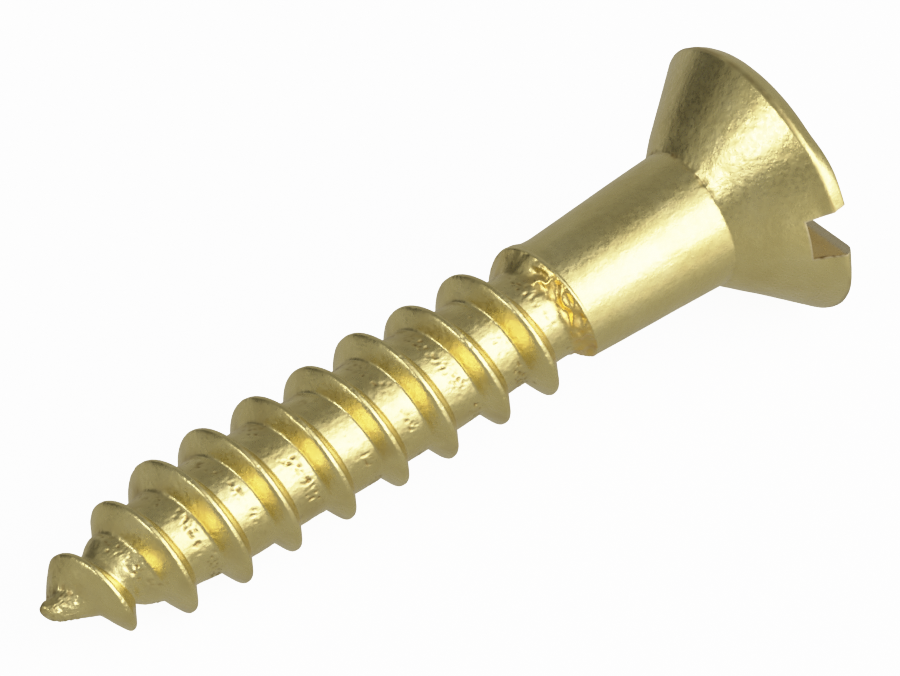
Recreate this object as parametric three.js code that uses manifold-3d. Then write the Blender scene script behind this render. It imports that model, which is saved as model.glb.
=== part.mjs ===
// Slotted countersunk wood screw, No. 8 x 1 in, brass.
//
// One cold-headed and thread-cut piece of brass. It is modelled as four named
// zones that meet face to face on planes square to the axis: the gimlet point,
// the threaded length, the plain shank and the head.
//
// Frame (millimetres, +Z up): the screw lies on its side. +X runs along its
// axis from the point to the head, and X = 0 is the flat top of the head, which
// is the plane that ends flush with the timber. The driver slot runs along Y.
// The lengths below are measured from the tip, and the whole group is moved
// back by LENGTH at the end.
import * as THREE from 'three';
import { mergeVertices } from 'three/addons/utils/BufferGeometryUtils.js';
import Module from 'manifold-3d';

// ---------------------------------------------------------------- dimensions
const LENGTH = 24.5;            // tip to the flat top of the head

// thread: right-hand, single start, 60 degree form
const PITCH = 1.717;            // 14.8 turns per inch
const THREAD_R = 2.1;           // crest radius
const CREST_TAPER = 0.0021;     // the crest loses this much radius per mm towards the head
const CREST_FLAT = 0.05;        // half the width of the crest's flat
const FLANK = Math.tan(Math.PI / 6);
const FOOT_FILLET = 0.08;       // height over which the flank flares into the root
const CREST_X0 = 1.13;          // a crest passes this far from the tip ...
const CREST_PHASE = 46.9;       // ... at this angle from +Y towards +Z, degrees
const THREAD_SIDES = 36;        // facets round the axis
const TURN_START = -15 / THREAD_SIDES;   // turns counted from that crest
const TURN_END = 337 / THREAD_SIDES;

// root of the thread: [distance from the tip, radius]
const ROOT = [[0, 0.2], [0.16, 0.235], [1.46, 0.77], [2.35, 1.03], [3.2, 1.3], [4.2, 1.44],
  [4.9, 1.51], [13.5, 1.5], [16.45, 1.43], [16.85, 1.55], [17.2, 1.765], [17.5, 1.795]];
// crest in the gimlet point and at the run-out: [turn, radius]
const CREST_IN = [[-0.42, 0.25], [-0.2, 0.72], [0, 1.25], [0.5, 1.56], [1.05, 1.83], [1.5, 2.0], [2.1, 2.085], [2.6, THREAD_R]];
const CREST_OUT = [[8.55, 2.085], [9.0, 1.95], [9.2, 1.83], [9.36, 1.72]];

const POINT_END = 4.2;          // gimlet point / threaded length
const THREAD_END = 17.5;        // threaded length / plain shank
const SHANK_R_THREAD = 1.795;   // the shank swells slightly towards the head
const SHANK_R_NECK = 1.98;
const NECK_X = 21.72;           // shank / head

// head: 80 degree countersink, small rounded edge, flat top
const HEAD_R = 4.08;
const RIM_X = 24.18;            // top edge of the countersink cone
const EDGE = [[24.23, 4.09], [24.36, 3.99], [24.46, 3.84], [24.5, 3.66]];

// straight driver slot, open at both ends
const SLOT_WIDTH = 1.33;
const SLOT_DEPTH = 1.07;

const SHANK_SIDES = 48;
const HEAD_SIDES = 72;

// ------------------------------------------------------------------- helpers
const wasm = await Module();
wasm.setup();

// piecewise linear value from a list of [x, y]
function lerpTable(table, x) {
  if (x <= table[0][0]) return table[0][1];
  for (let i = 1; i < table.length; i++) {
    if (x <= table[i][0]) {
      const [x0, y0] = table[i - 1];
      const [x1, y1] = table[i];
      return y0 + (y1 - y0) * (x - x0) / (x1 - x0);
    }
  }
  return table[table.length - 1][1];
}

function toSolid(geometry) {
  const g = geometry.index ? geometry.toNonIndexed() : geometry;
  g.deleteAttribute('normal');
  g.deleteAttribute('uv');
  const m = mergeVertices(g, 1e-5);
  // drop the triangles that collapse where a profile touches the axis
  const p = m.attributes.position;
  const tri = [];
  for (let i = 0; i < m.index.count; i += 3) {
    const a = m.index.getX(i), b = m.index.getX(i + 1), c = m.index.getX(i + 2);
    if (a !== b && b !== c && a !== c) tri.push(a, b, c);
  }
  return new wasm.Manifold(new wasm.Mesh({
    numProp: 3, vertProperties: new Float32Array(p.array), triVerts: new Uint32Array(tri),
  }));
}

function toGeometry(solid, planes = []) {
  const mesh = solid.getMesh();
  const v = new Float32Array(mesh.vertProperties);
  for (let i = 0; i < v.length; i += 3) {
    for (const x of planes) if (Math.abs(v[i] - x) < 1e-4) v[i] = x;
  }
  const g = new THREE.BufferGeometry();
  g.setAttribute('position', new THREE.BufferAttribute(v, 3));
  g.setIndex(new THREE.BufferAttribute(new Uint32Array(mesh.triVerts), 1));
  g.computeVertexNormals();
  return g;
}

// solid of revolution about X from a profile of [x, radius]
function revolve(profile, sides) {
  const pts = profile.map(([x, r]) => new THREE.Vector2(r, x));
  const g = new THREE.LatheGeometry(pts, sides);
  g.rotateZ(-Math.PI / 2);
  return g;
}

function box(x0, x1, y0, y1, z0, z1) {
  const g = new THREE.BoxGeometry(x1 - x0, y1 - y0, z1 - z0);
  g.translate((x0 + x1) / 2, (y0 + y1) / 2, (z0 + z1) / 2);
  return toSolid(g);
}

function crestRadius(turn, x) {
  const full = THREAD_R - CREST_TAPER * Math.max(0, x - 5);
  if (turn < CREST_IN[CREST_IN.length - 1][0]) return Math.min(full, lerpTable(CREST_IN, turn));
  if (turn > CREST_OUT[0][0]) return Math.min(full, lerpTable(CREST_OUT, turn));
  return full;
}

// The ridge of the thread: a six-sided section carried round the helix. Its
// foot is sunk in the root, so that the two join cleanly.
function threadRidge() {
  const steps = Math.round((TURN_END - TURN_START) * THREAD_SIDES);
  const pos = [];
  for (let i = 0; i <= steps; i++) {
    const turn = TURN_START + (TURN_END - TURN_START) * i / steps;
    const angle = turn * 2 * Math.PI + THREE.MathUtils.degToRad(CREST_PHASE);
    const xc = CREST_X0 + PITCH * turn;
    const rc = crestRadius(turn, xc);
    const root = lerpTable(ROOT, xc);
    const foot = Math.min(root + FOOT_FILLET, root - 0.1 + 0.7 * (rc - root + 0.1));
    const wf = CREST_FLAT + Math.max(0, rc - foot) * FLANK;
    const wb = wf + 0.13;
    const sink = (x) => Math.max(0.06, lerpTable(ROOT, x) - 0.1);
    const rise = (x) => Math.max(sink(x) + 0.02, Math.min(lerpTable(ROOT, x) + FOOT_FILLET, rc - 0.02, foot + lerpTable(ROOT, x) - root));
    const section = [
      [xc - wb, sink(xc - wb)], [xc - wf, rise(xc - wf)], [xc - CREST_FLAT, rc],
      [xc + CREST_FLAT, rc], [xc + wf, rise(xc + wf)], [xc + wb, sink(xc + wb)],
    ];
    for (const [x, r] of section) pos.push(x, r * Math.cos(angle), r * Math.sin(angle));
  }
  const n = 6;
  const idx = [];
  for (let i = 0; i < steps; i++) {
    for (let k = 0; k < n; k++) {
      const a = i * n + k, b = i * n + (k + 1) % n, c = a + n, d = b + n;
      idx.push(a, c, b, b, c, d);
    }
  }
  const last = steps * n;
  for (let k = 1; k < n - 1; k++) {
    idx.push(0, k, k + 1);
    idx.push(last, last + k + 1, last + k);
  }
  const g = new THREE.BufferGeometry();
  g.setAttribute('position', new THREE.Float32BufferAttribute(pos, 3));
  g.setIndex(idx);
  return toSolid(g);
}

// -------------------------------------------------------------------- solids
const rootBlank = revolve([[0, 0], ...ROOT, [THREAD_END, 0]], THREAD_SIDES);
rootBlank.rotateX(THREE.MathUtils.degToRad(CREST_PHASE));   // facets in step with the ridge's sections
const root = toSolid(rootBlank);
let threaded = root.add(threadRidge());
threaded = threaded.intersect(box(-1, THREAD_END, -6, 6, -6, 6));
const point = threaded.intersect(box(-1, POINT_END, -6, 6, -6, 6));
const thread = threaded.intersect(box(POINT_END, THREAD_END + 1, -6, 6, -6, 6));

const shank = revolve([[THREAD_END, 0], [THREAD_END, SHANK_R_THREAD], [(THREAD_END + NECK_X) / 2, 1.885],
  [NECK_X, SHANK_R_NECK], [NECK_X, 0]], SHANK_SIDES);

const headBlank = toSolid(revolve([[NECK_X, 0], [NECK_X, SHANK_R_NECK], [RIM_X, HEAD_R], ...EDGE, [LENGTH, 0]], HEAD_SIDES));
const slot = box(LENGTH - SLOT_DEPTH, LENGTH + 1, -6, 6, -SLOT_WIDTH / 2, SLOT_WIDTH / 2);
const head = headBlank.subtract(slot);

// ----------------------------------------------------------------- materials
function brass(color, roughness) {
  return new THREE.MeshStandardMaterial({ color, roughness, metalness: 1.0 });
}

const screw = new THREE.Group();
function addPart(name, geometry, material) {
  const mesh = new THREE.Mesh(geometry, material);
  mesh.name = name;
  mesh.position.set(-LENGTH, 0, 0);
  screw.add(mesh);
}
addPart('head', toGeometry(head, [NECK_X]), brass(0xb9a862, 0.36));
addPart('shank', toGeometry(toSolid(shank), [NECK_X, THREAD_END]), brass(0xb4a35c, 0.32));
addPart('thread', toGeometry(thread, [POINT_END, THREAD_END]), brass(0xbfa552, 0.3));
addPart('gimlet_point', toGeometry(point, [POINT_END]), brass(0xb79d50, 0.34));

export default screw;
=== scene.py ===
import itertools
import math

import bmesh
import bpy
import numpy as np
from mathutils import Matrix, Vector


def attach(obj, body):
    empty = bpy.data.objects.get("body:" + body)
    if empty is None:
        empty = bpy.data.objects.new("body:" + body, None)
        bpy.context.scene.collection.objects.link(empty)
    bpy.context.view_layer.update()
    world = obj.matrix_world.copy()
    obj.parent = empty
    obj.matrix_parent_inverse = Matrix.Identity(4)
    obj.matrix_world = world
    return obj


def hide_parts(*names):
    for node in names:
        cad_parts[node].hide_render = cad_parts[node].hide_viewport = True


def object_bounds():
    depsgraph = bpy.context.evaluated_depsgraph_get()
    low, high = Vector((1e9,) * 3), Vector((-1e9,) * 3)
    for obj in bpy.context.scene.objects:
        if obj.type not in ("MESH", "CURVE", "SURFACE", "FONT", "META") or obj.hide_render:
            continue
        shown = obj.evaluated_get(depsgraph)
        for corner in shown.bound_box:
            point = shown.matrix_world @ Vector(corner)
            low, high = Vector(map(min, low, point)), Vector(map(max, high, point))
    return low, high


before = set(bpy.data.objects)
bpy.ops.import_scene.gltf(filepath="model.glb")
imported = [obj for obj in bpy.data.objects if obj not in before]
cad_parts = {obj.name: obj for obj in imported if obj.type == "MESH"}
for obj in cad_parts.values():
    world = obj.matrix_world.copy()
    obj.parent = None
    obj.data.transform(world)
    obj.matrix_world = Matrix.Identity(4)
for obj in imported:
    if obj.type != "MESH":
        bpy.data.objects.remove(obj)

CAD_LO, CAD_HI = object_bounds()
MM = 0.001
LENGTH = round((CAD_HI.x - CAD_LO.x) / MM, 4)      # tip to the head's top, from the frame

# --------------------------------------------------------------------------
# Camera: a long lens, close to parallel, looking at the screw from the point's
# side and from above. The screw's axis runs along X.
# --------------------------------------------------------------------------
PHASE = math.radians(46.9)          # a thread crest passes this angle from +Y, CREST_X0 from the tip
PHI, PSI = math.radians(21.53), math.radians(31.14)
PX_PER_MM, FOCAL_PX = 37.6, 13507.7
TIP_PX = (42.47, 612.65)


def make_camera():
    ax = Vector((1, 0, 0))
    top = Vector((0, math.cos(PHASE), math.sin(PHASE)))
    front = Vector((0, -math.sin(PHASE), math.cos(PHASE)))
    right = ax * (math.cos(PHI) * math.cos(PSI)) - top * math.sin(PSI) + front * (math.sin(PHI) * math.cos(PSI))
    up = ax * (math.cos(PHI) * math.sin(PSI)) + top * math.cos(PSI) + front * (math.sin(PHI) * math.sin(PSI))
    back = -ax * math.sin(PHI) + front * math.cos(PHI)
    depth = FOCAL_PX / PX_PER_MM
    xc, yc = (TIP_PX[0] - 450) / PX_PER_MM, -(TIP_PX[1] - 338) / PX_PER_MM
    tip = Vector((-LENGTH, 0, 0))
    loc = (tip - right * xc - up * yc + back * depth) * MM
    cam = bpy.data.cameras.new("camera")
    cam.sensor_width = 36.0
    cam.lens = FOCAL_PX / 900 * 36.0
    cam.clip_start, cam.clip_end = 0.01, 10
    ob = bpy.data.objects.new("camera", cam)
    m = Matrix((right, up, back)).transposed().to_4x4()
    m.translation = loc
    ob.matrix_world = m
    bpy.context.scene.collection.objects.link(ob)
    bpy.context.scene.camera = ob
    return right, up, back


RIGHT, UP, BACK = make_camera()


# --------------------------------------------------------------------------
# Numbers: noise and smooth tables. Everything below is in millimetres from the
# tip, and becomes metres in the frame at the end.
# --------------------------------------------------------------------------
_PERM = {}


def perlin(p, seed):
    if seed not in _PERM:
        rng = np.random.RandomState(seed)
        g = rng.normal(size=(256, 3))
        _PERM[seed] = (rng.permutation(256), g / np.linalg.norm(g, axis=1)[:, None])
    perm, grad = _PERM[seed]
    i = np.floor(p).astype(int)
    f = p - i
    u = f * f * f * (f * (f * 6 - 15) + 10)
    out = np.zeros(len(p))
    for d in itertools.product((0, 1), repeat=3):
        d = np.array(d)
        c = (i + d) & 255
        h = perm[(perm[(perm[c[:, 0]] + c[:, 1]) & 255] + c[:, 2]) & 255]
        w = np.where(d, u, 1 - u).prod(1)
        out += w * (grad[h] * (f - d)).sum(1)
    return out * 1.5


def fbm(p, seed, octaves=3, gain=0.5):
    out, amp = 0.0, 1.0
    for o in range(octaves):
        out = out + amp * perlin(p * 2.03 ** o + 7.1 * o, seed + o)
        amp *= gain
    return out


def smooth_table(points, x):
    xs, ys = np.array(points, float).T
    h, d = np.diff(xs), np.diff(ys) / np.diff(xs)
    m = np.zeros(len(xs))
    m[0], m[-1] = d[0], d[-1]
    for k in range(1, len(xs) - 1):
        if d[k - 1] * d[k] > 0:
            w1, w2 = 2 * h[k] + h[k - 1], h[k] + 2 * h[k - 1]
            m[k] = (w1 + w2) / (w1 / d[k - 1] + w2 / d[k])
    x = np.clip(x, xs[0], xs[-1])
    k = np.clip(np.searchsorted(xs, x) - 1, 0, len(h) - 1)
    t = (x - xs[k]) / h[k]
    return (ys[k] * (1 + 2 * t) * (1 - t) ** 2 + h[k] * m[k] * t * (1 - t) ** 2
            + ys[k + 1] * t * t * (3 - 2 * t) + h[k] * m[k + 1] * t * t * (t - 1))


def step(a, b, x):
    t = np.clip((x - a) / (b - a), 0, 1)
    return t * t * (3 - 2 * t)


def smax(a, b, k):
    return 0.5 * (a + b + np.sqrt((a - b) ** 2 + k * k))


# --------------------------------------------------------------------------
# The screw's own sizes
# --------------------------------------------------------------------------
PITCH, CREST_X0 = 1.717, 1.13
CREST_R, CREST_TAPER = 2.1, 0.0021
# the thread's section: how far the flank has dropped at each distance from the crest
TIP_SIDE = [(0, 0), (0.02, 0.003), (0.045, 0.016), (0.075, 0.046), (0.115, 0.105), (0.165, 0.185), (0.225, 0.285), (0.285, 0.385), (0.345, 0.495), (0.43, 0.66), (0.6, 1.0), (0.9, 1.8)]
HEAD_SIDE = [(0, 0), (0.04, 0.001), (0.075, 0.009), (0.105, 0.028), (0.135, 0.065), (0.17, 0.13), (0.22, 0.22), (0.28, 0.33), (0.35, 0.46), (0.43, 0.63), (0.5, 0.80), (0.7, 1.3), (0.9, 1.9)]
ROOT = [(0, 0.235), (0.16, 0.31), (0.4, 0.37), (1.46, 0.76), (2.35, 1.03), (3.2, 1.33), (4.2, 1.44), (4.9, 1.52), (6.2, 1.57),
        (8.2, 1.55), (9.8, 1.55), (11.4, 1.59), (13.2, 1.53), (14.9, 1.45), (16.45, 1.40), (18, 1.38)]
ROOT_OFF = [(0, 0), (0.16, -0.05), (0.45, 0), (1.75, 0), (2.05, -0.12), (2.25, -0.16), (2.45, -0.08), (2.7, 0), (4.2, 0.01), (6.2, 0.055), (8.2, 0.035), (9.8, 0.08), (11.4, 0.03), (13.2, 0.03), (14.9, 0), (18, 0)]
CREST_IN = [(-0.5, 0.1), (-0.46, 0.2), (-0.42, 0.3), (-0.35, 0.54), (-0.3, 0.84), (-0.25, 1.10), (-0.2, 1.16), (-0.15, 1.11), (-0.1, 1.09),
            (0, 1.25), (0.25, 1.43), (0.5, 1.55), (0.65, 1.52), (0.82, 1.43), (0.9, 1.48), (0.95, 1.66), (1.0, 1.77), (1.12, 1.85), (1.5, 2.0), (2.1, 2.085), (2.6, 2.1)]
CREST_OUT = [(8.5, 2.09), (8.8, 1.96), (9.0, 1.86), (9.12, 1.84), (9.25, 1.82), (9.6, 1.80), (10.2, 1.79)]
# the real thread isn't even: its crest wanders along the axis and in height
DX = [(-0.5, 0), (0, -0.09), (0.5, -0.06), (1, 0.03), (1.5, -0.06), (2, -0.02), (2.5, 0), (3, -0.055), (3.5, -0.06), (4, 0),
      (4.5, 0.03), (5, 0.03), (5.5, 0.12), (6, 0.015), (6.5, 0.015), (7, -0.02), (7.5, 0.12), (8, 0), (8.5, 0.03), (9, 0.03), (9.5, -0.10), (11, -0.1)]
DR = [(-0.5, 0), (0, 0), (0.5, -0.02), (1, 0.04), (1.5, 0), (2, 0.03), (2.5, 0.03), (3, 0.025), (3.5, 0), (4, 0.013), (4.5, 0.035),
      (5, -0.035), (5.5, 0.013), (6, 0.06), (6.5, 0.065), (7, -0.03), (7.5, 0.016), (8, -0.016), (8.5, 0.027), (9, 0.02), (9.4, 0), (11, 0)]
BEND = [(0, 0.14), (1.6, 0.132), (3.2, 0.09), (4.5, 0.045), (6, 0.018), (8, 0.005), (10, 0), (14, 0), (17.5, -0.02), (21.7, -0.07), (23, -0.06), (24.4, -0.035), (26, -0.03)]     # the point leans off the axis
JOIN_X = 17.6                        # the wound rows end on this ring
NECK_X, NECK_R = 21.755, 2.02
FLOOR_X = 23.433
RIM_R = 4.085
TOP_X = 24.455
FLOOR_UP, FLOOR_DOWN = 0.80, 0.50     # the slot's walls from the centre line, at its floor
RIM_UP, RIM_DOWN = 1.13, 0.33         # and at the rim: the cut leans and flares
RIM_X = 24.2
N = 288                              # columns round the axis
WALL_COL = 10                        # the slot's walls fall on this column either side


def shank_r(x):
    return 1.812 + (NECK_R - 1.812) * (x - 17.5) / (NECK_X - 17.5)


def crest_r(turn, x):
    full = CREST_R - CREST_TAPER * np.clip(x - 5, 0, None)
    r = np.where(turn < 2.6, smooth_table(CREST_IN, turn), full)
    r = np.where(turn > 8.5, smooth_table(CREST_OUT, turn), r)
    return np.minimum(r, full) + np.interp(turn, *np.array(DR).T)


def crest_x(turn):
    return CREST_X0 + PITCH * turn + smooth_wave(DX, turn)


def smooth_wave(points, x):
    """A table that may rise and fall, rounded by averaging it over a short stretch."""
    p = np.array(points).T
    return sum(np.interp(x + o, *p) for o in (-0.12, -0.06, 0, 0.06, 0.12)) / 5


def groove_r(turn, x, theta):
    core = smooth_table(ROOT, x) - smooth_table(ROOT_OFF, x) * np.cos(theta)
    s = step(8.55, 8.95, turn)
    return core + (shank_r(x) - core) * s


def slot_up(x):
    return FLOOR_UP + (RIM_UP - FLOOR_UP) * np.clip((x - FLOOR_X) / (RIM_X - FLOOR_X), 0, 1)


def slot_down(x):
    return FLOOR_DOWN + (RIM_DOWN - FLOOR_DOWN) * np.clip((x - FLOOR_X) / (RIM_X - FLOOR_X), 0, 1)


def edge_x(theta):
    """Where the cone ends at the rim. The countersink isn't quite true to the head."""
    e = 24.22 + RIM_R * (-0.023 * np.cos(theta) - 0.029 * np.sin(theta))
    top = top_x(RIM_R - 0.55, theta)
    return np.minimum(e, top - 0.05)


def top_x(r, theta):
    return TOP_X + r * (0.030 * np.cos(theta) + 0.045 * np.sin(theta))


# --------------------------------------------------------------------------
# Mesh patches
# --------------------------------------------------------------------------
class Patches:
    def __init__(self):
        self.v, self.f, self.n = [], [], 0

    def points(self, p):
        p = np.asarray(p, float).reshape(-1, 3)
        self.v.append(p)
        start = self.n
        self.n += len(p)
        return start

    def grid(self, p, wrap=False):
        a, b = p.shape[:2]
        s = self.points(p)
        i, j = np.meshgrid(np.arange(a - 1), np.arange(b if wrap else b - 1), indexing="ij")
        j2 = (j + 1) % b
        self.f.append(np.stack([s + i * b + j, s + i * b + j2, s + (i + 1) * b + j2, s + (i + 1) * b + j], -1).reshape(-1, 4))

    def mesh(self):
        v = np.concatenate(self.v)
        q = np.round(v / 2e-5).astype(np.int64)
        _, first, inverse = np.unique(q, axis=0, return_index=True, return_inverse=True)
        inverse = inverse.reshape(-1)
        verts = v[first]
        faces = []
        for f in np.concatenate(self.f):
            loop = []
            for k in inverse[f]:
                k = int(k)
                if not loop or loop[-1] != k:
                    loop.append(k)
            if len(loop) > 1 and loop[0] == loop[-1]:
                loop.pop()
            if len(set(loop)) == len(loop) and len(loop) >= 3:
                faces.append(loop)
        return verts, faces


def polar(x, r, phi):
    x, r, phi = np.broadcast_arrays(x, r, phi)
    return np.stack([x, r * np.cos(phi), r * np.sin(phi)], -1)


def bent(p):
    """The point leans off the axis, and its blunt end is cut a little askew."""
    q = p.copy()
    up = p[:, 1] * math.cos(PHASE) + p[:, 2] * math.sin(PHASE)
    q[:, 0] += np.clip(0.045 - 0.44 * up, -0.05, 0.16) * np.exp(-(np.clip(p[:, 0], 0, None) / 0.22) ** 2)
    # the head isn't quite square to the shank
    q[:, 0] += 0.11 * step(20.2, NECK_X, p[:, 0]) * step(23.2, NECK_X, p[:, 0]) * (p[:, 2] * math.cos(PHASE) - p[:, 1] * math.sin(PHASE)) / NECK_R
    q[:, 0] += 0.10 * step(21.0, NECK_X, p[:, 0]) * step(22.6, NECK_X, p[:, 0]) * np.clip(up / NECK_R, 0, 1)
    # the corners beside one end of the slot are knocked down a little
    high = step(23.75, 24.25, p[:, 0])
    q[:, 0] -= high * np.where(p[:, 2] > 0.4, 0.12 * step(2.7, 1.2, p[:, 2]) * step(-2.0, -3.7, p[:, 1]), 0.12 * step(-2.2, -0.6, p[:, 2]))
    lean = smooth_table(BEND, p[:, 0])
    q[:, 1] -= lean * math.cos(PHASE)
    q[:, 2] -= lean * math.sin(PHASE)
    return q


COLUMNS = 2 * np.pi * np.arange(N) / N


def wound_rows(patches):
    """The point and the thread, as rows that follow the helix."""
    ks = np.arange(-2, 11)
    near = [0, 0.025, 0.05, 0.075, 0.10, 0.125, 0.15, 0.18, 0.22, 0.26, 0.31, 0.36, 0.41, 0.46]
    far = [0.02, 0.045, 0.075, 0.11, 0.15, 0.195, 0.24, 0.285, 0.33, 0.365, 0.40, 0.44, 0.50]
    roots = 14
    a, b = near[-1], PITCH - far[-1]
    shares = near + [a + (b - a) * (i + 1) / (roots + 1) for i in range(roots)] + [PITCH - d for d in far[::-1]]
    theta = COLUMNS - PHASE
    rows = []
    for k in ks:
        t1 = k + theta / (2 * np.pi)
        x1, x2 = crest_x(t1), crest_x(t1 + 1)
        for dd in shares:
            x = x1 + (x2 - x1) * dd / PITCH
            d1, d2 = x - x1, x2 - x
            core = groove_r(t1, x, theta)
            rc1, rc2 = crest_r(t1, x), crest_r(t1 + 1, x)
            full = 1 + 0.13 * np.clip(-np.cos(theta), 0, 1)
            h1 = rc1 - smooth_table(HEAD_SIDE, d1 / full)
            h2 = rc2 - smooth_table(TIP_SIDE, d2 / full)
            # the last turn has no crest: its groove ends in a hollow ramp up to the shank
            ramp = rc2 - (rc2 - core) * (1 - np.clip(1 - d2 / 0.78, 0, 1) ** 2)
            w = step(8.8, 9.15, t1 + 1)
            h2 = h2 + (ramp - h2) * w
            r = smax(np.maximum(h1, h2), core, 0.03)
            r = r + (np.maximum(h1, h2) - r) * w * step(0.25, 0.05, d2)
            r = r + (shank_r(x) - r) * step(17.25, 17.5, x)
            # metal pushed up where the thread runs into the shank
            a0 = (theta + np.pi) % (2 * np.pi) - np.pi
            r = r + 0.14 * np.exp(-((x - 16.86) / 0.24) ** 2) * np.exp(-((a0 + 0.15) / 0.7) ** 2) * step(16.3, 16.6, x)
            # the blunt end: rows before it slide over its round edge and face
            s = x + 0.18
            t = np.clip((s - 0.13) / 0.11, 0, 1)
            end_r = 0.24
            xe = 0.06 * (1 - np.cos(np.pi / 2 * t))
            re = np.where(s < 0.13, np.clip(s, 0, None), 0.13 + (end_r - 0.13) * np.sin(np.pi / 2 * t))
            r = np.where(s < 0.24, re, r)
            x = np.where(s < 0.24, xe, x)
            # the other end closes on a plain ring of the shank
            out = x > JOIN_X - 0.03
            r = np.where(out, shank_r(JOIN_X), r)
            x = np.where(out, JOIN_X, x)
            rows.append(polar(x, r, COLUMNS))
    m = len(rows) // len(ks)
    p = np.array(rows)
    s = patches.points(p)
    total = len(rows)
    i, j = np.meshgrid(np.arange(total - 1), np.arange(N), indexing="ij")
    lift = np.where(j == N - 1, m, 0)
    j2 = (j + 1) % N
    ok = (i + 1 + lift) < total
    f = np.stack([s + i * N + j, s + (i + lift) * N + j2, s + (i + 1 + lift) * N + j2, s + (i + 1) * N + j], -1)
    patches.f.append(f[ok])


def warped(phi_index, r, weight, x):
    """Column angles near the head's slot: they lean so that a column lies on each wall."""
    up, down = np.arcsin(slot_up(x) / r), np.arcsin(slot_down(x) / r)
    j = phi_index
    w, half = WALL_COL, N // 2
    out = np.empty(np.broadcast(j, r).shape)
    jj = np.broadcast_to(j, out.shape)
    up, down = np.broadcast_to(up, out.shape), np.broadcast_to(down, out.shape)
    # first slot end, -w..w
    q = np.where(jj > half + w, jj - N, jj)
    end0 = -down + (up + down) * (q + w) / (2 * w)
    upper = up + (np.pi - 2 * up) * (jj - w) / (half - 2 * w)
    end1 = np.pi - up + (up + down) * (jj - (half - w)) / (2 * w)
    lower = np.pi + down + (np.pi - 2 * down) * (jj - (half + w)) / (half - 2 * w)
    out = np.where((q >= -w) & (q <= w), np.where(q < 0, end0 + 2 * np.pi, end0),
                   np.where(jj <= half - w, upper, np.where(jj <= half + w, end1, lower)))
    base = 2 * np.pi * jj / N
    # keep the first column's angle on the same side of zero as its base
    out = np.where((q >= -w) & (q <= w), end0 + np.where(q < 0, 2 * np.pi, 0), out)
    return base + weight * (out - base)


def cone_r(x, phi):
    """The cone's radius: from the neck to the rim, whose height varies round the head."""
    th = phi - PHASE
    return NECK_R + (RIM_R - NECK_R) * (x - NECK_X) / (edge_x(th) - NECK_X)


def body_rings(patches):
    xs = list(np.linspace(JOIN_X, NECK_X - 0.12, 30)) + [NECK_X - 0.06, NECK_X - 0.03]
    p = [polar(x, shank_r(x), COLUMNS) for x in xs]
    j = np.arange(N)
    # a small fillet at the neck, then the cone up to the floor of the slot
    for x, lift in ((NECK_X - 0.005, 0.008), (NECK_X + 0.015, 0.012)):
        p.append(polar(x, shank_r(x) + lift, COLUMNS))
    cone = [NECK_X + 0.04, NECK_X + 0.09] + list(np.linspace(NECK_X + 0.15, FLOOR_X - 0.06, 22)) + [FLOOR_X]
    for x in cone:
        weight = step(NECK_X + 0.3, FLOOR_X - 0.1, x)
        r = cone_r(x, COLUMNS)
        for _ in range(3):
            phi = warped(j, r, weight, x)
            r = cone_r(x, phi)
        p.append(polar(x, r, phi))
    patches.grid(np.array(p), wrap=True)
    return p[-1]


def head_top(patches, floor_ring):
    half, w = N // 2, WALL_COL
    rows = 9
    edge = [(0.0, 0.0), (0.10, 0.30), (0.24, 0.56), (0.42, 0.78), (0.66, 0.92), (1.0, 1.0)]   # share inwards, share up
    ends = {}
    for side, (j0, j1) in {"up": (w, half - w), "down": (half + w, N - w)}.items():
        j = np.arange(j0, j1 + 1)
        grid = []
        for i in range(rows + 1):
            t = i / rows
            r = np.full(len(j), 3.5 + 0.58 * t)
            phi = warped(j, r, 1.0, FLOOR_X)
            for _ in range(9):
                x = FLOOR_X + (edge_x(phi - PHASE) - FLOOR_X) * t
                r = cone_r(x, phi)
                phi = warped(j, r, 1.0, x)
            grid.append(polar(x, r, phi))
        for inn, upw in edge[1:]:
            phi = warped(j, np.full(len(j), RIM_R), 1.0, TOP_X)
            for _ in range(9):
                # the rim is sharper where the slot cuts it
                y = RIM_R * np.cos(phi)
                dr = 0.56 - 0.34 * step(-2.6, -3.8, y) * (1.45 if side == "up" else 0.8)
                r = RIM_R - dr * inn
                ex = edge_x(phi - PHASE)
                x = ex + (top_x(RIM_R - dr, phi - PHASE) - ex) * upw
                phi = warped(j, r, 1.0, x)
            grid.append(polar(x, r, phi))
        grid = np.array(grid)
        patches.grid(grid)
        ends[side] = grid
        # the half-moon, from the edge to the slot's own edge
        outer = grid[-1]
        f = share(len(j))
        y0, y1 = outer[0, 1], outer[-1, 1]
        chord_y = y0 + (y1 - y0) * f
        chord_z = outer[0, 2] + (outer[-1, 2] - outer[0, 2]) * f
        moon = []
        for t in (0, 0.03, 0.09, 0.2, 0.33, 0.46, 0.6, 0.74, 0.87, 0.95, 1):
            y = outer[:, 1] + (chord_y - outer[:, 1]) * t
            z = outer[:, 2] + (chord_z - outer[:, 2]) * t
            th = np.arctan2(z, y) - PHASE
            moon.append(np.stack([top_x(np.hypot(y, z), th), y, z], -1))
        moon[0] = outer
        patches.grid(np.array(moon))
        # the wall
        e0, e1 = grid[:, 0], grid[:, -1]
        wall = e0[:, None] + (e1 - e0)[:, None] * f[None, :, None]
        patches.grid(wall)
        ends[side + "_wall"] = wall
    # the floor of the slot, across from wall to wall
    top, bottom = ends["up_wall"][0], ends["down_wall"][0][::-1]
    arc0 = np.array([floor_ring[k % N] for k in range(w, -w - 1, -1)])          # +Y end, from the upper wall down
    arc1 = np.array([floor_ring[k] for k in range(half - w, half + w + 1)])     # -Y end
    f = share(half - 2 * w + 1)
    floor = arc0[None] + (arc1 - arc0)[None] * f[:, None, None]
    floor[:, 0], floor[:, -1] = top, bottom
    patches.grid(floor)


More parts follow.
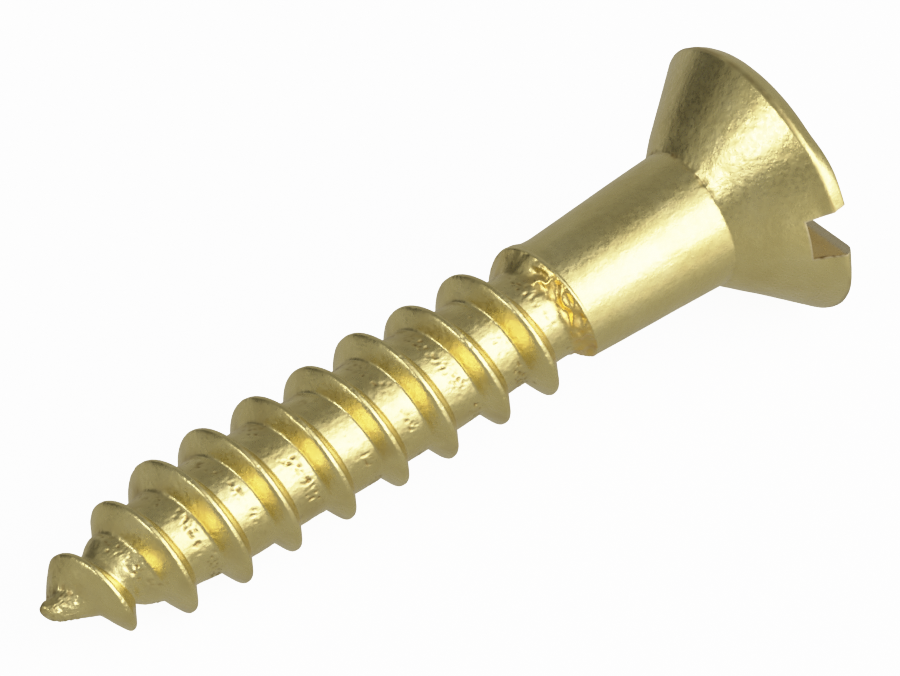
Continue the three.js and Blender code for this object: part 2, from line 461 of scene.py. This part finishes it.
def share(n):
    """How far along the slot each column comes, closer together at both ends."""
    a = 0.32
    t = np.linspace(0, 1, n)
    return (np.cos(a) - np.cos(a + (np.pi - 2 * a) * t)) / (2 * np.cos(a))


def ridged(p, seed):
    return 1 - 2 * np.abs(perlin(p, seed))


def rough(co):
    """How far each point of the surface stands out or in; how worn, tarnished or painted in shade and how dull it is
    there; where a golden reflection is painted; and whether it lies in the slot.
    """
    x, y, z = co.T
    r = np.hypot(y, z)
    theta = (np.arctan2(z, y) - PHASE) % (2 * np.pi)
    tau = (x - CREST_X0) / PITCH - theta / (2 * np.pi)
    tau = tau - smooth_wave(DX, np.round(tau) + theta / (2 * np.pi)) / PITCH
    k = np.floor(tau)
    u = tau - k                                   # 0 and 1 on the crests
    turn = k + theta / (2 * np.pi)
    drop = crest_r(turn, x) - r
    on_thread = step(1.2, 1.9, x) * step(17.0, 16.2, x)
    root = step(0.20, 0.30, u) * step(0.86, 0.76, u) * on_thread
    p = co
    out = np.zeros(len(co))
    # soft unevenness everywhere but in the slot
    plain = step(0.6, 1.5, x)
    out += 0.0035 * perlin(p / 0.62, 11) * plain + 0.0012 * perlin(p / 0.21, 12) * plain
    # torn metal and pits low on the groove, near the next flank
    top_side = step(0.62, 0.9, np.cos(theta))
    low = step(0.44, 0.52, u) * step(0.75, 0.64, u) * on_thread * (1 - 0.7 * top_side)
    some = step(-0.35, 0.25, perlin(p / 0.75, 21))
    q = np.stack([x / 0.085, y / 0.12, z / 0.12], 1)
    n1, n2 = perlin(q, 22), perlin(p / 0.055, 23)
    pits = low * some * np.clip(n1 - 0.12, 0, 0.6)
    out += -0.125 * pits + 0.016 * low * some * n2 + 0.006 * root * perlin(p / 0.13, 24)
    lone = root * np.clip(perlin(p / 0.16, 25) - 0.55, 0, 1)
    out += -0.06 * lone
    # crests: nicked and a little wavy
    crest = np.exp(-(np.minimum(u, 1 - u) / 0.035) ** 2) * step(0.6, 1.4, x) * step(16.9, 16.4, x)
    out += crest * (0.010 * perlin(p / 0.35, 31) - 0.055 * np.clip(perlin(p / 0.11, 32) - 0.25, 0, 1))
    # the hollow ramp where the thread ends: chipped, with ridges round the shank
    d2 = (1 - u) * PITCH
    last = step(8.80, 9.0, turn + 1) * step(0.62, 0.40, d2) * step(9.62, 9.5, turn + 1) + step(0.0, 0.12, u * PITCH) * 0
    last = np.where(turn + 1 > 8.7, last, 0) * step(17.45, 17.3, x) * (1 - 0.85 * step(0.35, 0.8, np.cos(theta)))
    arc = np.stack([x / 0.30, y / 0.60, z / 0.60], 1)
    chips = ridged(arc, 41) * 0.82 + ridged(arc * 2.1, 42) * 0.18
    out += last * step(0.0, 0.10, d2) * (0.125 * (chips - 0.45) + 0.008 * perlin(p / 0.06, 43))
    edge = np.exp(-((d2 - 0.02) / 0.07) ** 2) * np.where(turn + 1 > 8.9, 1, 0) * step(17.5, 17.35, x)
    out += -edge * 0.05 * np.clip(perlin(p / 0.14, 44), 0, 1)
    # the point is rough
    tip = step(1.25, 0.7, x) * np.where(r < 0.62, 1, 0.35)
    out += tip * step(-0.02, 0.3, x) * (0.028 * perlin(p / 0.13, 51) + 0.016 * perlin(p / 0.06, 52)) + 0.007 * step(3.2, 2.4, x) * step(0.2, 0.6, x) * perlin(p / 0.24, 54)
    # the crease under the head, dented; its darker colour below is painted shade
    neck = np.exp(-((x - NECK_X) / 0.07) ** 2) * (1 - 0.8 * step(0.1, -0.6, np.cos(theta)))
    out += neck * (-0.018 + 0.030 * perlin(p / 0.17, 61) + 0.012 * perlin(p / 0.07, 64))
    # the countersink: shallow marks round the cone
    cone = step(NECK_X + 0.1, NECK_X + 0.4, x) * step(24.1, 23.9, x) * step(3.2, 3.1, np.where(x > 23.3, 0, 1) * 3)
    out += cone * 0.0025 * perlin(np.stack([x / 0.3, y / 0.9, z / 0.9], 1), 62)
    # a fine dark line where the cone meets the rim
    line = np.exp(-((x - edge_x(theta)) / 0.022) ** 2) * np.where(r > 3.85, 1, 0)
    out += -0.007 * line * step(-0.5, 0.3, perlin(p / 0.6, 65))
    # darker: tarnished pits, a dark line at the rim, darker hollows between the chips, patches on the point (more on
    # its upper side), and painted shade in an uneven band along the crease under the head
    wear_and_shade = np.clip(0.55 * line * step(-0.5, 0.3, perlin(p / 0.6, 65)) + 2.4 * pits + 1.6 * lone + 0.35 * last * np.clip(0.5 - chips, 0, 1) + neck * (0.16 + 1.1 * np.clip(perlin(p / 0.14, 63), 0, 1))
                   + 0.7 * tip * np.clip(perlin(p / 0.12, 53) + 0.35 * np.cos(theta), 0, 1), 0, 1)
    # darker spots along the outer edge of the slot's lower wall, painted shade on the upper side of the roots, and
    # brown patches on the thread
    lower_edge = np.exp(-((z + slot_down(x)) / 0.035) ** 2) * step(FLOOR_X + 0.02, FLOOR_X + 0.1, x) * step(24.15, 23.95, x) * step(0.13, 0.05, cone_r(x, np.arctan2(z, y)) - r) * np.where(y < 0, 1, 0)
    wear_and_shade = np.clip(wear_and_shade + lower_edge * step(-0.35, 0.15, perlin(p / 0.16, 66)) + 0.26 * root * top_side * step(-0.5, 0.5, perlin(p / 0.6, 26))
                   + 0.17 * step(17.3, 16.6, x) * step(-0.1, 0.7, perlin(p / 0.8, 71)), 0, 1)
    # painted reflection: the deep golden tint of brass reflected in brass, on the torn run-out and in the pits
    reflected_gold = np.clip(last * (0.75 + 0.5 * perlin(p / 0.2, 45)) + 0.35 * pits, 0, 1)
    in_slot = (x > FLOOR_X - 0.04) & (z < slot_up(x) + 0.05) & (z > -slot_down(x) - 0.05)
    out = np.where(in_slot, 0, out)
    return out, wear_and_shade, reflected_gold, np.where(in_slot, 1.0, 0.0)


def build_screw():
    patches = Patches()
    wound_rows(patches)
    floor_ring = body_rings(patches)
    head_top(patches, floor_ring)
    verts, faces = patches.mesh()
    me = bpy.data.meshes.new("screw_mm")
    me.from_pydata(verts.tolist(), [], faces)
    me.validate()
    bm = bmesh.new()
    bm.from_mesh(me)
    bmesh.ops.recalc_face_normals(bm, faces=bm.faces)
    open_edges = [e for e in bm.edges if not e.is_manifold]
    print("screw mesh:", len(bm.verts), "vertices,", len(bm.faces), "faces,", len(open_edges), "open edges, volume", round(bm.calc_volume(signed=True), 2), "mm3")
    for e in open_edges[:8]:
        print("   open:", [tuple(round(c, 3) for c in v.co) for v in e.verts], len(e.link_faces))
    # a fine broken edge round the slot
    sharp = []
    for e in bm.edges:
        if len(e.link_faces) == 2 and min(v.co.x for v in e.verts) > FLOOR_X - 0.01 and e.calc_face_angle() > math.radians(38):
            if all(abs(v.co.z - slot_up(v.co.x)) < 2e-3 or abs(v.co.z + slot_down(v.co.x)) < 2e-3 or abs(v.co.x - FLOOR_X) < 2e-3 for v in e.verts):
                sharp.append(e)
    print("slot edges to break:", len(sharp))
    bmesh.ops.bevel(bm, geom=sharp, offset=0.036, offset_type="OFFSET", segments=2, profile=0.6, affect="EDGES", clamp_overlap=True)
    bmesh.ops.recalc_face_normals(bm, faces=bm.faces)
    open_edges = [e for e in bm.edges if not e.is_manifold]
    print("after the bevel:", len(bm.verts), "vertices,", len(open_edges), "open edges, volume", round(bm.calc_volume(signed=True), 2))
    bm.normal_update()
    co = np.array([v.co for v in bm.verts])
    no = np.array([v.normal for v in bm.verts])
    out, wear_and_shade, reflected_gold, slot = rough(co)
    co = bent(co + no * out[:, None])
    bm.to_mesh(me)
    bm.free()
    me.vertices.foreach_set("co", co.ravel())
    # colour attribute: red for tarnished spots and painted shade, green for the painted golden reflection, blue for the
    # slot
    layer = me.color_attributes.new("wear_and_shade", "FLOAT_COLOR", "POINT")
    layer.data.foreach_set("color", np.stack([wear_and_shade, reflected_gold, slot, np.ones(len(wear_and_shade))], 1).ravel())
    return me


me = build_screw()
co = np.zeros(len(me.vertices) * 3)
me.vertices.foreach_get("co", co)
co = co.reshape(-1, 3)
co[:, 0] -= LENGTH
me.vertices.foreach_set("co", (co * MM).ravel())
me.update()
for p in me.polygons:
    p.use_smooth = True
me.name = "brass_screw"
screw = bpy.data.objects.new("brass_screw", me)
bpy.context.scene.collection.objects.link(screw)


# --------------------------------------------------------------------------
# Brass
# --------------------------------------------------------------------------
def brass():
    mat = bpy.data.materials.new("brass")
    mat.use_nodes = True
    nt = mat.node_tree
    nt.nodes.clear()
    out = nt.nodes.new("ShaderNodeOutputMaterial")
    b = nt.nodes.new("ShaderNodeBsdfPrincipled")
    nt.links.new(b.outputs[0], out.inputs[0])
    b.inputs["Metallic"].default_value = 1.0
    tc = nt.nodes.new("ShaderNodeTexCoord")
    mp = nt.nodes.new("ShaderNodeMapping")
    mp.inputs["Scale"].default_value = (1000, 1000, 1000)
    nt.links.new(tc.outputs["Object"], mp.inputs["Vector"])

    def noise(scale, detail=3, rough=0.5, vec=None):
        n = nt.nodes.new("ShaderNodeTexNoise")
        n.inputs["Scale"].default_value = scale
        n.inputs["Detail"].default_value = detail
        n.inputs["Roughness"].default_value = rough
        nt.links.new((vec or mp).outputs["Vector"], n.inputs["Vector"])
        return n

    def ramp(src, stops):
        r = nt.nodes.new("ShaderNodeValToRGB")
        while len(r.color_ramp.elements) > 1:
            r.color_ramp.elements.remove(r.color_ramp.elements[0])
        r.color_ramp.elements[0].position = stops[0][0]
        r.color_ramp.elements[0].color = stops[0][1]
        for pos, col in stops[1:]:
            e = r.color_ramp.elements.new(pos)
            e.color = col
        nt.links.new(src, r.inputs["Fac"])
        return r

    def maths(op, a, b, clamp=False):
        n = nt.nodes.new("ShaderNodeMath")
        n.operation, n.use_clamp = op, clamp
        for sock, v in zip(n.inputs, (a, b)):
            if isinstance(v, (int, float)):
                sock.default_value = v
            else:
                nt.links.new(v, sock)
        return n.outputs[0]

    def spread(src, a, b, lo, hi):
        r = nt.nodes.new("ShaderNodeMapRange")
        for name, v in (("From Min", a), ("From Max", b), ("To Min", lo), ("To Max", hi)):
            r.inputs[name].default_value = v
        nt.links.new(src, r.inputs["Value"])
        return r.outputs["Result"]

    wear_and_shade = nt.nodes.new("ShaderNodeAttribute")
    wear_and_shade.attribute_type, wear_and_shade.attribute_name = "GEOMETRY", "wear_and_shade"
    patch = noise(0.8, 4, 0.62)
    col = ramp(patch.outputs["Fac"], [(0.30, (0.74, 0.61, 0.235, 1)), (0.5, (0.80, 0.675, 0.275, 1)), (0.70, (0.84, 0.72, 0.32, 1))])
    mix = nt.nodes.new("ShaderNodeMix")
    mix.data_type = "RGBA"
    split = nt.nodes.new("ShaderNodeSeparateColor")
    nt.links.new(wear_and_shade.outputs["Color"], split.inputs[0])
    # the attribute's red is tarnished spots plus painted shade, its green the painted golden reflection, its blue the
    # slot
    tarnish_and_shade, reflected_gold = split.outputs[0], split.outputs[1]
    # painted reflection: a deep golden tint of brass seen in brass
    gold_tint_mix = nt.nodes.new("ShaderNodeMix")
    gold_tint_mix.data_type = "RGBA"
    nt.links.new(reflected_gold, gold_tint_mix.inputs["Factor"])
    nt.links.new(col.outputs["Color"], gold_tint_mix.inputs[6])
    gold_tint_mix.inputs[7].default_value = (0.88, 0.60, 0.14, 1)
    pale = nt.nodes.new("ShaderNodeMix")
    pale.data_type = "RGBA"
    nt.links.new(split.outputs[2], pale.inputs["Factor"])
    nt.links.new(gold_tint_mix.outputs[2], pale.inputs[6])
    pale.inputs[7].default_value = (0.82, 0.70, 0.42, 1)
    # tarnished spots and painted shade both darken towards this brown
    nt.links.new(tarnish_and_shade, mix.inputs["Factor"])
    nt.links.new(pale.outputs[2], mix.inputs[6])
    mix.inputs[7].default_value = (0.30, 0.19, 0.06, 1)
    nt.links.new(mix.outputs[2], b.inputs["Base Color"])
    fine = noise(7, 5, 0.62)
    rough_ = spread(fine.outputs["Fac"], 0.3, 0.7, 0.22, 0.36)
    nt.links.new(maths("ADD", rough_, maths("MULTIPLY", tarnish_and_shade, 0.25)), b.inputs["Roughness"])
    # tumbled skin: soft dimples, a finer grain, and faint marks drawn along the axis
    dimples, grain = noise(3.6, 2, 0.5), noise(15, 3, 0.6)
    drawn = nt.nodes.new("ShaderNodeMapping")
    drawn.inputs["Scale"].default_value = (1500, 9000, 9000)
    nt.links.new(tc.outputs["Object"], drawn.inputs["Vector"])
    marks = noise(1, 2, 0.5, drawn)
    height = maths("ADD", maths("MULTIPLY", dimples.outputs["Fac"], 1.0), maths("ADD", maths("MULTIPLY", grain.outputs["Fac"], 0.35), maths("MULTIPLY", marks.outputs["Fac"], 0.22)))
    bump = nt.nodes.new("ShaderNodeBump")
    bump.inputs["Strength"].default_value = 1.0
    bump.inputs["Distance"].default_value = 0.000015
    nt.links.new(height, bump.inputs["Height"])
    nt.links.new(bump.outputs["Normal"], b.inputs["Normal"])
    return mat


me.materials.append(brass())
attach(screw, "root")
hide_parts("head", "shank", "thread", "gimlet_point")


# --------------------------------------------------------------------------
# Floor, light and world
# --------------------------------------------------------------------------
FLOOR_GLOW, FLOOR_IN_METAL = 1.6, 0.39


def make_floor():
    # the screw lies on its rim and a crest near the point
    slope = 0.0967
    bm = bmesh.new()
    s = 0.6
    for x, y in ((-s, -s), (s, -s), (s, s), (-s, s)):
        bm.verts.new((x, y, (-RIM_R * MM + 0.000026) + slope * (-0.0003 - x)))
    bm.faces.new(bm.verts)
    m = bpy.data.meshes.new("floor")
    bm.to_mesh(m)
    bm.free()
    ob = bpy.data.objects.new("floor", m)
    bpy.context.scene.collection.objects.link(ob)
    mat = bpy.data.materials.new("floor")
    mat.use_nodes = True
    nt = mat.node_tree
    nt.nodes.clear()
    out = nt.nodes.new("ShaderNodeOutputMaterial")
    seen, lit = nt.nodes.new("ShaderNodeEmission"), nt.nodes.new("ShaderNodeBsdfDiffuse")
    seen.inputs["Color"].default_value = (1, 1, 1, 1)
    seen.inputs["Strength"].default_value = FLOOR_GLOW
    lit.inputs["Color"].default_value = (0.82, 0.82, 0.81, 1)
    both = nt.nodes.new("ShaderNodeAddShader")
    nt.links.new(seen.outputs[0], both.inputs[0])
    nt.links.new(lit.outputs[0], both.inputs[1])
    dim = nt.nodes.new("ShaderNodeEmission")
    dim.inputs["Color"].default_value = (1, 0.98, 0.94, 1)
    geo, xyz = nt.nodes.new("ShaderNodeNewGeometry"), nt.nodes.new("ShaderNodeSeparateXYZ")
    nt.links.new(geo.outputs["Position"], xyz.inputs[0])

    def ramp(src, a, b, lo=0.0, hi=1.0):
        r = nt.nodes.new("ShaderNodeMapRange")
        r.interpolation_type = "SMOOTHSTEP"
        for k, v in zip(("From Min", "From Max", "To Min", "To Max"), (a, b, lo, hi)):
            r.inputs[k].default_value = v
        nt.links.new(src, r.inputs["Value"])
        return r.outputs["Result"]

    def maths(op, a, b):
        n = nt.nodes.new("ShaderNodeMath")
        n.operation = op
        for k, v in ((0, a), (1, b)):
            if isinstance(v, (int, float)):
                n.inputs[k].default_value = v
            else:
                nt.links.new(v, n.inputs[k])
        return n.outputs[0]

    # seen in the metal, the floor glows instead of being lit: a painted reflection, brighter in a patch in front of the
    # screw
    ahead = ramp(maths("MULTIPLY", xyz.outputs["Y"], -1.0), 0.003, 0.015)
    beside = ramp(maths("SUBTRACT", xyz.outputs["X"], maths("MULTIPLY", xyz.outputs["Y"], 0.75)), -0.004, 0.0015)
    level = maths("MULTIPLY_ADD", maths("MULTIPLY", ahead, beside), 0.62)
    level.node.inputs[2].default_value = FLOOR_IN_METAL
    nt.links.new(level, dim.inputs["Strength"])
    path = nt.nodes.new("ShaderNodeLightPath")
    mix = nt.nodes.new("ShaderNodeMixShader")
    nt.links.new(path.outputs["Is Camera Ray"], mix.inputs[0])
    nt.links.new(dim.outputs[0], mix.inputs[1])
    nt.links.new(both.outputs[0], mix.inputs[2])
    nt.links.new(mix.outputs[0], out.inputs[0])
    m.materials.append(mat)
    return ob


make_floor()


def area(name, direction, distance, size, energy, colour=(1, 1, 1), target=(-0.010, 0, 0)):
    light = bpy.data.lights.new(name, "AREA")
    light.shape = "RECTANGLE"
    light.size, light.size_y = size
    light.energy = energy
    light.color = colour
    ob = bpy.data.objects.new(name, light)
    d = Vector(direction).normalized()
    ob.location = Vector(target) + d * distance
    ob.rotation_mode = "QUATERNION"
    ob.rotation_quaternion = (-d).to_track_quat("-Z", "Y")
    bpy.context.scene.collection.objects.link(ob)
    return ob


def radiance(name, direction, distance, size, level, colour=(1, 1, 1)):
    return area(name, direction, distance, size, level * math.pi * size[0] * size[1], colour)


radiance("front_softbox", (0.32, -0.83, 0.44), 0.30, (0.30, 0.235), 2.7)
radiance("front_diffuser", (0.36, -0.79, 0.46), 0.34, (0.44, 0.60), 0.85)
radiance("left_softbox", (-0.83, -0.07, 0.56), 0.30, (0.10, 0.07), 7.5)

world = bpy.data.worlds.new("studio")
bpy.context.scene.world = world
world.use_nodes = True
wn = world.node_tree
bg = wn.nodes["Background"]
tc = wn.nodes.new("ShaderNodeTexCoord")


def world_lobe(direction, inner, outer):
    """1 inside a cone of directions, falling to 0 outside it."""
    d = wn.nodes.new("ShaderNodeVectorMath")
    d.operation = "DOT_PRODUCT"
    wn.links.new(tc.outputs["Generated"], d.inputs[0])
    d.inputs[1].default_value = Vector(direction).normalized()
    r = wn.nodes.new("ShaderNodeMapRange")
    r.interpolation_type = "SMOOTHSTEP"
    r.inputs["From Min"].default_value = math.cos(math.radians(outer))
    r.inputs["From Max"].default_value = math.cos(math.radians(inner))
    wn.links.new(d.outputs["Value"], r.inputs["Value"])
    return r.outputs["Result"]


def world_mix(base, lobe, level):
    m = wn.nodes.new("ShaderNodeMix")
    m.data_type = "FLOAT"
    wn.links.new(lobe, m.inputs["Factor"])
    if isinstance(base, float):
        m.inputs[2].default_value = base
    else:
        wn.links.new(base, m.inputs[2])
    m.inputs[3].default_value = level
    return m.outputs[0]


level = world_mix(0.34, world_lobe((0.1, 0.3, 1), 8, 50), 0.21)             # ceiling
level = world_mix(level, world_lobe((-0.42, 0.86, 0.20), 12, 34), 0.07)     # the dark end of the room
level = world_mix(level, world_lobe((-0.90, -0.43, 0.09), 4, 22), 0.16)
wn.links.new(level, bg.inputs["Strength"])
bg.inputs["Color"].default_value = (1, 1, 1, 1)

view = bpy.context.scene.view_settings
view.view_transform = "Standard"
view.look = "None"
view.use_curve_mapping = True
cm = view.curve_mapping
cm.white_level = (4, 4, 4)
shoulder = cm.curves[3]
for x, y in ((0.5, 0.5), (0.8, 0.735), (1.13, 0.87), (1.7, 0.956), (2.3, 0.985), (3.0, 0.996)):
    shoulder.points.new(x / 4, y)
cm.update()
